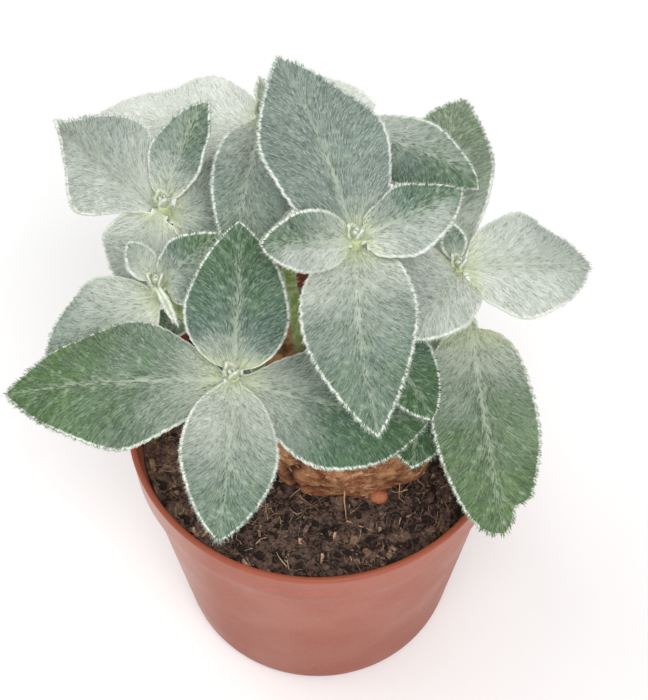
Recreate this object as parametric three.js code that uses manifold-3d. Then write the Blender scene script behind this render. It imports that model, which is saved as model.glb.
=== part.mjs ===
// A potted Brazilian edelweiss: a terracotta-coloured plastic nursery pot filled with dark peat,
// a squat brown tuber that sits half out of it, and seven stems, each with a whorl of large felted leaves.
// Millimetres, +Z up. The origin is the centre of the pot's base, and -Y is the side seen in front.
import * as THREE from "three";
import { mergeVertices } from "three/addons/utils/BufferGeometryUtils.js";
import Module from "manifold-3d";

const GAP = 0.3; // clearance between two pieces that touch
const UP = new THREE.Vector3(0, 0, 1);

// The pot
const RIM_RADIUS = 60;
const POT_HEIGHT = 100;
const BASE_RADIUS = 46.5;
const COLLAR_HEIGHT = 14;
const LIP_WIDTH = 2;
const FLOOR_THICKNESS = 2.5;
const DRAIN_HOLES = 6;
const DRAIN_RADIUS = 3.5;
const DRAIN_CIRCLE = 30;
const POT_SEGMENTS = 56;

// The soil
const SOIL_HEIGHT = 88;
const SOIL_SLOPE = 0.05; // it lies higher at the front
const SOIL_ROUGHNESS = 1.3;
const SOIL_RINGS = [8, 16, 24, 32, 39, 46, 51];
const SOIL_SEGMENTS = 36;

// The tuber
const TUBER_CENTRE = new THREE.Vector3(9, 7, 100);
const TUBER_RADII = new THREE.Vector3(35, 34, 23);
const TUBER_LUMPS = 0.035;

// The stems
const STEM_RADIUS = 2;
const STEM_SIDES = 9;
const STEM_STEPS = 9;
const SOCKET_DEPTH = 4;
const BUD_RADIUS = 1.7;
const BUD_HEIGHT = 3;

// The leaves
const LEAF_THICKNESS = 1.2;
const LEAF_EDGE_THICKNESS = 0.8;
const LEAF_STATIONS = 14;
const MIDRIB_STEPS = 48;
const ACROSS = [-1, -0.5, 0, 0.5, 1];
const TOOTH = 0.035; // depth of the rounded teeth on the margin, as a share of the half width
const RIPPLE = 1.6; // height of the waves in the margin, on a leaf 40 mm wide
const BASE_HALF_WIDTH = 3; // a blade clasps its stem with a broad base, narrower on small leaves
const PETIOLE_HALF_WIDTH = 2;
const TIP_HALF_WIDTH = 0.7;

// Each shoot: where its stem leaves the tuber, and the top of its stem
const SHOOTS = {
  a: { foot: [-8, -4], top: [-24, -24, 158] },
  b: { foot: [10, 2], top: [11, 0, 192] },
  c: { foot: [-12, 14], top: [-45, 27, 172] },
  d: { foot: [-17, 5], top: [-47, 7, 160] },
  e: { foot: [29, 6], top: [41, 6, 170] },
  f: { foot: [-5, 10], top: [-16, 53, 182] },
  g: { foot: [15, 18], top: [11, 52, 176] },
};

// Each leaf: the shoot, its level against the top of the stem (mm), the compass angle it turns to (degrees,
// 0 along +X), its rise at the stem and how far it droops by the tip, and its trough-like fold (degrees),
// its length and width (mm), and two numbers for the outline: a low "broad" puts the widest place near the
// stem, and a low "full" makes a blunter leaf. Some also swing sideways towards the tip, roll about the
// midrib, curl down at the tip, stand on a bare petiole that leads off another way, or have a torn notch.
const LEAVES = {
  leaf_a_left: {
    shoot: "a", level: -3, turn: -179, rise: 6, droop: 23, fold: 5,
    length: 64, width: 43, broad: 0.9, full: 0.87,
  },
  leaf_a_right: {
    shoot: "a", level: -3, turn: -19, swing: 26, rise: 2, droop: 29, roll: 8, fold: 7,
    length: 56, width: 40, broad: 1.02, full: 0.89,
  },
  leaf_a_down: {
    shoot: "a", level: 0, turn: -88, swing: -11, rise: 18, droop: 51, roll: -13, fold: 11,
    length: 49, width: 28, broad: 0.97, full: 0.73,
  },
  leaf_a_up: {
    shoot: "a", level: 0, turn: 76, swing: 8, rise: 42, droop: 12, roll: -5, fold: 13,
    length: 40, width: 31, broad: 0.72, full: 0.74,
  },
  leaf_a_low: {
    shoot: "a", level: -20, turn: 150, rise: -4, droop: 10, fold: 10,
    length: 25, width: 15, broad: 0.9, full: 0.8,
  },
  leaf_b_up: {
    shoot: "b", level: -3, turn: 107.8, swing: 9, rise: 27, droop: 23, roll: 10, fold: 13,
    length: 59, width: 39, broad: 0.83, full: 0.92,
  },
  leaf_b_down: {
    shoot: "b", level: -4, turn: -91, swing: 14, rise: 14, droop: 45, roll: 7, fold: 12,
    length: 57, width: 33, broad: 0.8, full: 0.83,
  },
  leaf_b_right: {
    shoot: "b", level: 0, turn: 10, swing: 18, rise: 29, droop: 24, roll: 4, fold: 7,
    length: 30, width: 21, broad: 0.82, full: 0.82,
  },
  leaf_b_left: {
    shoot: "b", level: 0, turn: -154, swing: -6, rise: 32, droop: 17, roll: -45, fold: 12,
    length: 28, width: 18, broad: 0.87, full: 0.63,
  },
  leaf_b_low: {
    shoot: "b", level: -28, turn: -61, rise: 0, droop: 15, fold: 10,
    length: 43, width: 21, broad: 1.1, full: 0.7,
  },
  leaf_c_left: {
    shoot: "c", level: -6, turn: 148, swing: 13, rise: 38, droop: 7, fold: 12,
    length: 42, width: 38, broad: 1.08, full: 1.4, curl: -30,
  },
  leaf_c_right: {
    shoot: "c", level: -4, turn: -15, rise: 12, droop: 10, roll: 30, fold: 10,
    length: 30, width: 20, broad: 0.86, full: 0.82,
  },
  leaf_c_up: {
    shoot: "c", level: 0, turn: 71, swing: -18, rise: 40, droop: 17, roll: -14, fold: 18,
    length: 31, width: 20, broad: 0.86, full: 0.8,
  },
  leaf_c_down: {
    shoot: "c", level: -6.8, turn: -138, rise: -60, droop: 26, roll: -26, fold: 8,
    length: 34, width: 29, broad: 0.85, full: 0.8,
  },
  leaf_d_left: {
    shoot: "d", level: -8, turn: -162, swing: 10, rise: -14, droop: 22, fold: 6,
    length: 41, width: 36, broad: 0.79, full: 0.85,
  },
  leaf_d_right: {
    shoot: "d", level: 0, turn: 12, swing: -2, rise: 53, droop: 10, roll: 21, fold: 22,
    length: 26, width: 19, broad: 0.7, full: 0.84,
  },
  leaf_d_up: {
    shoot: "d", level: 0, turn: 133, rise: 49, droop: 10, fold: 12,
    length: 12.5, width: 8, broad: 0.88, full: 0.8,
  },
  leaf_d_down: {
    shoot: "d", level: 0, turn: -65, rise: 10, droop: 20, roll: 40, fold: 25,
    length: 14, width: 7, broad: 0.9, full: 0.8,
  },
  leaf_d_low: {
    shoot: "d", level: -21, turn: 168, rise: -5, droop: 10, fold: 8,
    length: 14, width: 15, broad: 0.9, full: 0.8,
  },
  leaf_e_right: {
    shoot: "e", level: 0, turn: 2, swing: 16, rise: 3, droop: 30, roll: 6, fold: 5,
    length: 38, width: 35, broad: 0.8, full: 0.75,
  },
  leaf_e_left: {
    shoot: "e", level: 0, turn: -107, swing: -20, rise: 35, droop: 24, roll: -30, fold: 14,
    length: 40, width: 33, broad: 0.75, full: 0.7,
  },
  leaf_e_up: {
    shoot: "e", level: 0, turn: 107, swing: 5, rise: 60, droop: 12, roll: -2, fold: 13,
    length: 12, width: 8, broad: 0.86, full: 0.81,
  },
  leaf_e_back: {
    shoot: "e", level: -7, turn: 102, swing: -34, rise: 11, droop: 21, roll: -4, fold: 14,
    length: 67, width: 31, broad: 1.02, full: 0.85,
  },
  leaf_e_front: {
    shoot: "e", level: -20, turn: -86, swing: 10, rise: -1, droop: 46, roll: -3, fold: 11,
    length: 62, width: 32, broad: 0.83, full: 0.42, petiole: 10, lead: -20, notch: 0.55,
  },
  leaf_e_low: {
    shoot: "e", level: -30, turn: -98, rise: -2, droop: 8, fold: 8,
    length: 45, width: 30, broad: 1.05, full: 0.8,
  },
  leaf_f_left: {
    shoot: "f", level: -8, turn: 160, swing: -2, rise: -11, droop: 12, roll: 4, fold: 11,
    length: 58, width: 40, broad: 0.7, full: 0.76,
  },
  leaf_f_right: {
    shoot: "f", level: -3, turn: 10, swing: -7, rise: 16, droop: 23, roll: 5, fold: 15,
    length: 31, width: 21, broad: 0.91, full: 0.76,
  },
  leaf_f_down: {
    shoot: "f", level: 0, turn: -94, swing: -6, rise: 20, droop: 42, roll: -4, fold: 14,
    length: 54, width: 29, broad: 0.85, full: 0.79,
  },
  leaf_f_up: {
    shoot: "f", level: 0, turn: 95, rise: 50, droop: 10, fold: 12,
    length: 9, width: 4, broad: 0.88, full: 0.8,
  },
  leaf_g_right: {
    shoot: "g", level: 0, turn: -29, swing: 2, rise: 18, droop: 39, roll: 8, fold: 14,
    length: 41, width: 24, broad: 0.74, full: 0.83, curl: 35,
  },
  leaf_g_left: {
    shoot: "g", level: -3, turn: 155, rise: 5, droop: 25, fold: 12,
    length: 27, width: 19, broad: 0.85, full: 0.8,
  },
  leaf_g_down: {
    shoot: "g", level: -5, turn: -118, rise: -5, droop: 30, fold: 12,
    length: 28, width: 18, broad: 0.88, full: 0.8,
  },
  leaf_g_up: {
    shoot: "g", level: -2, turn: 75, rise: 5, droop: 10, fold: 12,
    length: 11, width: 7, broad: 0.88, full: 0.8,
  },
};

const wasm = await Module();
wasm.setup();
const { Manifold, Mesh } = wasm;

// A three.js geometry as a solid that can be cut and joined
function toSolid(geometry) {
  const flat = geometry.index ? geometry.toNonIndexed() : geometry;
  const bare = new THREE.BufferGeometry();
  bare.setAttribute("position", flat.getAttribute("position"));
  const merged = mergeVertices(bare, 1e-3);
  return new Manifold(
    new Mesh({
      numProp: 3,
      vertProperties: merged.attributes.position.array,
      triVerts: new Uint32Array(merged.index.array),
    }),
  );
}

// The way back: an indexed three.js geometry of a solid
function toGeometry(solid) {
  const mesh = solid.getMesh();
  const geometry = new THREE.BufferGeometry();
  geometry.setAttribute("position", new THREE.BufferAttribute(mesh.vertProperties, 3));
  geometry.setIndex(new THREE.BufferAttribute(mesh.triVerts, 1));
  geometry.computeVertexNormals();
  return geometry;
}

// A turned solid from its profile of [radius, height] pairs
function turned(profile, segments) {
  const points = profile.map(([radius, height]) => new THREE.Vector2(radius, height));
  const geometry = new THREE.LatheGeometry(points, segments);
  geometry.rotateX(Math.PI / 2);
  return geometry;
}

// An upright cylinder, for the holes
function upright(radius, bottom, top, sides, x, y) {
  const geometry = new THREE.CylinderGeometry(radius, radius, top - bottom, sides);
  geometry.rotateX(Math.PI / 2);
  geometry.translate(x, y, (top + bottom) / 2);
  return toSolid(geometry);
}

// A round tube with closed ends along a curve
function tube(path, radius, sides, steps) {
  const section = new THREE.Shape();
  for (let i = 0; i < sides; i++) {
    const angle = (2 * Math.PI * i) / sides;
    const x = radius * Math.cos(angle);
    const y = radius * Math.sin(angle);
    if (i === 0) section.moveTo(x, y);
    else section.lineTo(x, y);
  }
  section.closePath();
  return new THREE.ExtrudeGeometry(section, { steps, bevelEnabled: false, extrudePath: path });
}

// The pot: a tapered shell with a thicker collar, a rounded lip and a ring of drain holes
const COLLAR_BOTTOM = POT_HEIGHT - COLLAR_HEIGHT;
const WALL_INSIDE = [
  [RIM_RADIUS - LIP_WIDTH, POT_HEIGHT - 0.6],
  [RIM_RADIUS - 4.2, COLLAR_BOTTOM],
  [BASE_RADIUS - 2, 4],
  [BASE_RADIUS - 3.5, FLOOR_THICKNESS],
];

function potSolid() {
  const profile = [
    [0, 0],
    [BASE_RADIUS - 3.5, 0],
    [BASE_RADIUS - 1, 1],
    [BASE_RADIUS, 4],
    [RIM_RADIUS - 2.6, COLLAR_BOTTOM - 1],
    [RIM_RADIUS - 0.9, COLLAR_BOTTOM],
    [RIM_RADIUS, POT_HEIGHT - 1.4],
    [RIM_RADIUS - 0.1, POT_HEIGHT - 0.5],
    [RIM_RADIUS - 0.6, POT_HEIGHT],
    [RIM_RADIUS - LIP_WIDTH + 0.4, POT_HEIGHT],
    ...WALL_INSIDE,
    [0, FLOOR_THICKNESS],
  ];
  let pot = toSolid(turned(profile, POT_SEGMENTS));
  for (let i = 0; i < DRAIN_HOLES; i++) {
    const angle = (2 * Math.PI * i) / DRAIN_HOLES;
    const x = DRAIN_CIRCLE * Math.cos(angle);
    const y = DRAIN_CIRCLE * Math.sin(angle);
    pot = pot.subtract(upright(DRAIN_RADIUS, -1, FLOOR_THICKNESS + 1, 12, x, y));
  }
  return pot;
}

// The tuber: a flattened lumpy ball, drawn larger by "spare" where it cuts the soil
function lumps(x, y, z) {
  return (
    Math.sin(0.19 * x + 1.3) * Math.cos(0.16 * y + 0.4) +
    0.6 * Math.sin(0.31 * y - 0.22 * z + 2) +
    0.5 * Math.cos(0.37 * x + 0.29 * z)
  );
}

function tuberSolid(spare) {
  const ball = new THREE.SphereGeometry(1, 26, 16);
  ball.rotateX(Math.PI / 2);
  const place = ball.getAttribute("position");
  const point = new THREE.Vector3();
  for (let i = 0; i < place.count; i++) {
    point.fromBufferAttribute(place, i);
    const reach = new THREE.Vector3(TUBER_RADII.x + spare, TUBER_RADII.y + spare, TUBER_RADII.z + spare);
    const surface = point.clone().multiply(TUBER_RADII);
    const lump = 1 + TUBER_LUMPS * lumps(surface.x, surface.y, surface.z);
    point.multiply(reach).multiplyScalar(lump).add(TUBER_CENTRE);
    place.setXYZ(i, point.x, point.y, point.z);
  }
  return toSolid(ball);
}

const bareTuber = tuberSolid(0);

// How high the tuber reaches under a stem
function tuberTop(x, y) {
  const probe = upright(STEM_RADIUS, TUBER_CENTRE.z, TUBER_CENTRE.z + 60, STEM_SIDES, x, y);
  return probe.intersect(bareTuber).boundingBox().max[2];
}

// The stems: each bends out from its foot and ends upright under its whorl of leaves
function stemCurve(shoot, depth) {
  const [x, y] = shoot.foot;
  const top = new THREE.Vector3(...shoot.top);
  const foot = new THREE.Vector3(x, y, tuberTop(x, y) - depth);
  const handle = 0.3 * (top.z - foot.z);
  const low = foot.clone().addScaledVector(UP, handle);
  const high = top.clone().addScaledVector(UP, -handle);
  return new THREE.CubicBezierCurve3(foot, low, high, top);
}

function stemPointAt(curve, height) {
  let low = 0;
  let high = 1;
  for (let i = 0; i < 30; i++) {
    const middle = (low + high) / 2;
    if (curve.getPoint(middle).z < height) low = middle;
    else high = middle;
  }
  return curve.getPoint(low);
}

function stemSolid(shoot) {
  const curve = stemCurve(shoot, SOCKET_DEPTH);
  const stem = toSolid(tube(curve, STEM_RADIUS, STEM_SIDES, STEM_STEPS));
  const bud = new THREE.SphereGeometry(1, STEM_SIDES, 6);
  bud.rotateX(Math.PI / 2);
  bud.scale(BUD_RADIUS, BUD_RADIUS, BUD_HEIGHT);
  bud.translate(...shoot.top);
  return stem.add(toSolid(bud));
}

function socketSolid(shoot) {
  const curve = stemCurve(shoot, SOCKET_DEPTH + GAP);
  return toSolid(tube(curve, STEM_RADIUS + GAP, STEM_SIDES, STEM_STEPS));
}

// The soil: a bumpy fill with a hollow for the tuber
function soilBump(x, y) {
  const waves =
    Math.sin(0.33 * x + 0.8) * Math.cos(0.29 * y) +
    0.7 * Math.sin(0.47 * x + 0.41 * y + 2.1) +
    0.5 * Math.cos(0.62 * y - 0.35 * x + 0.5);
  return (SOIL_ROUGHNESS * waves) / 2 - SOIL_SLOPE * y;
}

function wallInsideAt(height) {
  const [, above, below] = WALL_INSIDE;
  const share = (height - below[1]) / (above[1] - below[1]);
  return below[0] + share * (above[0] - below[0]);
}

function soilSolid() {
  const edge = wallInsideAt(SOIL_HEIGHT - 4) - GAP;
  const foot = BASE_RADIUS - 3.5 - GAP;
  const profile = [
    [0, FLOOR_THICKNESS + GAP],
    [foot - 1, FLOOR_THICKNESS + GAP],
    [foot + 1, 5],
    [wallInsideAt(50) - GAP, 50],
    [edge, SOIL_HEIGHT],
    ...SOIL_RINGS.toReversed().map((radius) => [radius, SOIL_HEIGHT]),
    [0, SOIL_HEIGHT],
  ];
  const geometry = turned(profile, SOIL_SEGMENTS);
  const place = geometry.getAttribute("position");
  for (let i = 0; i < place.count; i++) {
    if (place.getZ(i) < SOIL_HEIGHT - 1) continue;
    place.setZ(i, SOIL_HEIGHT + soilBump(place.getX(i), place.getY(i)));
  }
  return toSolid(geometry).subtract(tuberSolid(GAP));
}

// Half the width of a leaf's base at the stem
function baseHalfWidth(leaf) {
  return leaf.petiole ? PETIOLE_HALF_WIDTH : Math.min(BASE_HALF_WIDTH, 0.9 + 0.06 * leaf.width);
}

// How wide the blade is at a share of its length, against its widest place
function outline(leaf, share) {
  return Math.pow(Math.sin(Math.PI * Math.pow(share, leaf.broad)), leaf.full);
}

// The midrib's directions at a distance along it: forwards, to the left, and up through the blade
function directions(leaf, distance) {
  const petiole = leaf.petiole ?? 0;
  const share = Math.max(0, (distance - petiole) / leaf.length);
  const bend = petiole > 0 ? Math.min(1, distance / petiole) : 1;
  const start = leaf.lead ?? leaf.turn;
  const turn = THREE.MathUtils.degToRad(start + (leaf.turn - start) * bend + (leaf.swing ?? 0) * share);
  const curl = (leaf.curl ?? 0) * Math.max(0, (share - 0.6) / 0.4) ** 2;
  const rise = THREE.MathUtils.degToRad(leaf.rise - leaf.droop * share - curl);
  const roll = THREE.MathUtils.degToRad((leaf.roll ?? 0) * bend);
  const forward = new THREE.Vector3(
    Math.cos(rise) * Math.cos(turn),
    Math.cos(rise) * Math.sin(turn),
    Math.sin(rise),
  );
  const left = new THREE.Vector3(-Math.sin(turn), Math.cos(turn), 0);
  left.applyAxisAngle(forward, roll);
  const up = new THREE.Vector3().crossVectors(forward, left);
  return { forward, left, up };
}

// The midrib from the stem to the tip, added up from short straight steps
function midribPoints(leaf) {
  const shoot = SHOOTS[leaf.shoot];
  const height = shoot.top[2] + leaf.level;
  const stem = stemCurve(shoot, SOCKET_DEPTH);
  const axis = stemPointAt(stem, height);
  const start = THREE.MathUtils.degToRad(leaf.lead ?? leaf.turn);
  const aim = new THREE.Vector3(Math.cos(start), Math.sin(start), 0);
  const crossing = aim.angleTo(axis.clone().sub(stemPointAt(stem, height - 1)));
  const point = axis.clone().setZ(height);
  point.addScaledVector(aim, STEM_RADIUS / Math.sin(crossing) + 2 * GAP);
  const step = ((leaf.petiole ?? 0) + leaf.length) / MIDRIB_STEPS;
  const points = [point.clone()];
  for (let i = 0; i < MIDRIB_STEPS; i++) {
    point.addScaledVector(directions(leaf, (i + 0.5) * step).forward, step);
    points.push(point.clone());
  }
  return points;
}

// How far the margin waves up or down, most in the middle of the leaf and not at the midrib
function ripple(leaf, share, across) {
  const phase = THREE.MathUtils.degToRad(leaf.turn) + (across > 0 ? 2 : 0);
  const wave = Math.sin(4 * Math.PI * share + phase) * Math.sin(Math.PI * share);
  return (RIPPLE * leaf.width * across * across * wave) / 40;
}

// A leaf: a thin blade, arched and folded about its midrib, with shallow rounded teeth on its margin
function leafGeometry(leaf) {
  const midrib = midribPoints(leaf);
  const petiole = leaf.petiole ?? 0;
  const place = [];
  for (let i = 0; i <= LEAF_STATIONS; i++) {
    const along = (i / LEAF_STATIONS) * MIDRIB_STEPS;
    const low = Math.min(MIDRIB_STEPS - 1, Math.floor(along));
    const centre = midrib[low].clone().lerp(midrib[low + 1], along - low);
    const distance = (i / LEAF_STATIONS) * (petiole + leaf.length);
    const share = Math.max(0, (distance - petiole) / leaf.length);
    const tooth = i % 2 === 1 ? 1 - TOOTH : 1;
    const blade = (leaf.width / 2) * outline(leaf, share) * tooth;
    const half = Math.hypot(blade, baseHalfWidth(leaf) * (1 - share) ** 3);
    const { left, up } = directions(leaf, distance);
    for (const across of ACROSS) {
      const side = Math.abs(across);
      const torn = leaf.notch && across > 0 && share > 0.87 ? leaf.notch : 1;
      const reach = Math.max(TIP_HALF_WIDTH, half * torn);
      const tilt = THREE.MathUtils.degToRad(leaf.fold - 8 * side);
      const middle = centre.clone();
      middle.addScaledVector(left, reach * across * Math.cos(tilt));
      middle.addScaledVector(up, reach * side * Math.sin(tilt) + ripple(leaf, share, across));
      const face = up.clone().multiplyScalar(Math.cos(tilt));
      face.addScaledVector(left, -Math.sign(across) * Math.sin(tilt));
      const thickness = THREE.MathUtils.lerp(LEAF_THICKNESS, LEAF_EDGE_THICKNESS, side);
      place.push(middle.clone().addScaledVector(face, thickness / 2));
      place.push(middle.clone().addScaledVector(face, -thickness / 2));
    }
  }
  return bladeMesh(place, LEAF_STATIONS + 1, ACROSS.length);
}

// Joins a grid of top and bottom points into one closed blade, split alike on both faces
function bladeMesh(place, rows, columns) {
  const index = [];
  const at = (row, column, face) => 2 * (row * columns + column) + face;
  const wall = (a, b) => index.push(a, b, b + 1, a, b + 1, a + 1);
  for (let row = 0; row < rows - 1; row++) {
    for (let column = 0; column < columns - 1; column++) {
      const a = at(row, column, 0);
      const b = at(row + 1, column, 0);
      const c = at(row + 1, column + 1, 0);
      const d = at(row, column + 1, 0);
      index.push(a, b, c, a, c, d);
      index.push(c + 1, b + 1, a + 1, d + 1, c + 1, a + 1);
    }
    wall(at(row + 1, 0, 0), at(row, 0, 0));
    wall(at(row, columns - 1, 0), at(row + 1, columns - 1, 0));
  }
  for (let column = 0; column < columns - 1; column++) {
    wall(at(0, column, 0), at(0, column + 1, 0));
    wall(at(rows - 1, column + 1, 0), at(rows - 1, column, 0));
  }
  const geometry = new THREE.BufferGeometry();
  geometry.setAttribute("position", new THREE.Float32BufferAttribute(place.flatMap((p) => p.toArray()), 3));
  geometry.setIndex(index);
  geometry.computeVertexNormals();
  return geometry;
}

// Colours are those of the photograph
const MATERIALS = {
  pot: new THREE.MeshStandardMaterial({ color: 0xc08a76, roughness: 0.55, metalness: 0 }),
  soil: new THREE.MeshStandardMaterial({ color: 0x2b211c, roughness: 1, metalness: 0 }),
  tuber: new THREE.MeshStandardMaterial({ color: 0x8a5c42, roughness: 0.9, metalness: 0 }),
  stem: new THREE.MeshStandardMaterial({ color: 0x9fae8c, roughness: 0.9, metalness: 0 }),
  leaf: new THREE.MeshStandardMaterial({ color: 0x9fb3a4, roughness: 0.95, metalness: 0 }),
};

const plant = new THREE.Group();

function add(name, geometry, material) {
  const mesh = new THREE.Mesh(geometry, material);
  mesh.name = name;
  plant.add(mesh);
}

add("pot", toGeometry(potSolid()), MATERIALS.pot);
add("soil", toGeometry(soilSolid()), MATERIALS.soil);

let tuber = bareTuber;
for (const [letter, shoot] of Object.entries(SHOOTS)) {
  tuber = tuber.subtract(socketSolid(shoot));
  add("stem_" + letter, toGeometry(stemSolid(shoot)), MATERIALS.stem);
}
add("tuber", toGeometry(tuber), MATERIALS.tuber);

for (const [name, leaf] of Object.entries(LEAVES)) {
  add(name, leafGeometry(leaf), MATERIALS.leaf);
}

export default plant;
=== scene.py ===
"""A potted Brazilian edelweiss: seven shoots of silvery felted leaves on a brown tuber, in a nursery pot.

Lengths here are millimetres until a mesh is made; +Z is up and -Y is the side seen in front."""

import math

import bpy
import numpy as np
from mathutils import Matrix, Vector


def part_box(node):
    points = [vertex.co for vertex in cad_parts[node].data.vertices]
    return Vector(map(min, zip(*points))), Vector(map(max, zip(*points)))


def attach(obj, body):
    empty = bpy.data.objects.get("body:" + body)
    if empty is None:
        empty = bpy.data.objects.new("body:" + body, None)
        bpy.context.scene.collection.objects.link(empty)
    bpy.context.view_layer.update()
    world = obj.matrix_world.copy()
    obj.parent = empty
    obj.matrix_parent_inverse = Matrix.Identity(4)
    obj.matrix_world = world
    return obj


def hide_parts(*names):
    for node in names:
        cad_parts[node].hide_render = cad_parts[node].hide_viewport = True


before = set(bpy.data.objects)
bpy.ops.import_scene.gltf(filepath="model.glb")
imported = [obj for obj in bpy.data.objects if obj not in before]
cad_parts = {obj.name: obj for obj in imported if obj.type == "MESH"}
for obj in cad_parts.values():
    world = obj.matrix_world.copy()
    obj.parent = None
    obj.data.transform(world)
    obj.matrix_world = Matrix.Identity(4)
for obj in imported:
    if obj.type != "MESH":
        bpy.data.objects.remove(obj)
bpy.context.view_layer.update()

MM = 0.001
UP = np.array([0.0, 0.0, 1.0])
rng = np.random.default_rng(17)

# The pot, as in the solids
RIM_RADIUS = 60
POT_HEIGHT = 100
BASE_RADIUS = 46.5
COLLAR_HEIGHT = 14
LIP_WIDTH = 2
FLOOR_THICKNESS = 2.5
COLLAR_FOOT = POT_HEIGHT - COLLAR_HEIGHT
INNER_FOOT = 4  # the height at which the inner wall starts
INNER_RADII = (BASE_RADIUS - 2, RIM_RADIUS - 4.2)  # of the inner wall, at its foot and under the collar
DRAIN_HOLES = 6
DRAIN_RADIUS = 3.5
DRAIN_CIRCLE = 30
POT_SIDES = 180

# The soil
SOIL_HEIGHT = 88
SOIL_SLOPE = 0.05
SOIL_ROUGHNESS = 1.3
SOIL_EDGE = 55.9
SOIL_GAP = 0.3  # between the soil and the pot

# The tuber
TUBER_CENTRE = np.array([9.0, 7.0, 100.0])
TUBER_RADII = np.array([35.0, 34.0, 23.0])
TUBER_LUMPS = 0.035
KNOB_CENTRE = np.array([19, -25.8, 91.6])  # a small swelling on its front
KNOB_RADII = np.array([3.2, 2.4, 1.6])
CLEFT_ANGLE = -2.07  # where a deep cleft runs down its side, in radians from +X

# The stems
STEM_RADIUS = 2.0
STEM_GAP = 0.6  # how far from its stem a leaf begins

# The leaves
LEAF_THICKNESS = 1.2
LEAF_EDGE_THICKNESS = 0.6
MIDRIB_STEPS = 96
TOOTH = 0.035
RIPPLE = 1.6
BASE_HALF_WIDTH = 3.0
PETIOLE_HALF_WIDTH = 2.0
TIP_HALF_WIDTH = 0.3
INWARD = 1.6  # how far a blade's base reaches back towards its stem
SCALLOP_PITCH = 2.9  # along the margin
COMB_SLANT = 0.6  # how far the combed lines lean forward at the margin
COMB_SWEEP = 5  # and how much more at the midrib
COMB_SOFTNESS = 0.09  # the share of the width over which they turn

# The camera, about the centre of the rim
CAMERA_ELEVATION = 56.5
CAMERA_AWAY = 631.4
CAMERA_RIGHT = 2.08
CAMERA_UP = 19.5
CAMERA_FOCUS = 2000  # in the photograph's pixels
PHOTO_HEIGHT = 700
SENSOR_WIDTH = 36

# The light: the sky's strength, and each softbox's place, size and power, in metres and watts
SKY_STRENGTH = 0.64
SOFTBOXES = (((0.15, -0.6, 1.05), 0.6, 7.2), ((-0.7, 0.3, 1.0), 0.9, 4.0))
LIT_POINT = np.array([0, 0, 0.12])

# The hairs
HAIRS_PER_CLUMP = 3
TOP_CLUMPS = 3.0  # to a square millimetre
UNDER_HAIRS = 1.6
FRINGE_HAIRS = 20  # to a millimetre of margin
STEM_HAIRS = 3.0
HAIR_WIDENING = 1.0

# Each shoot: the top of its stem, and where its foot stands on the tuber
SHOOTS = {
    "a": ((-8, -4), (-24, -24, 158)),
    "b": ((10, 2), (11, 0, 192)),
    "c": ((-12, 14), (-45, 27, 172)),
    "d": ((-17, 5), (-47, 7, 160)),
    "e": ((29, 6), (41, 6, 170)),
    "f": ((-5, 10), (-16, 53, 182)),
    "g": ((15, 18), (11, 52, 176)),
}


def leaf(level, turn, rise, droop, fold, length, width, broad, full, **more):
    """A leaf's level against the stem's top, its compass turn, rise, droop and fold in degrees, its length
    and width, and two numbers for its outline: broad moves the widest place, full rounds the sides."""
    return dict(
        level=level, turn=turn, rise=rise, droop=droop, fold=fold, length=length, width=width, broad=broad,
        full=full, **more,
    )


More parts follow.
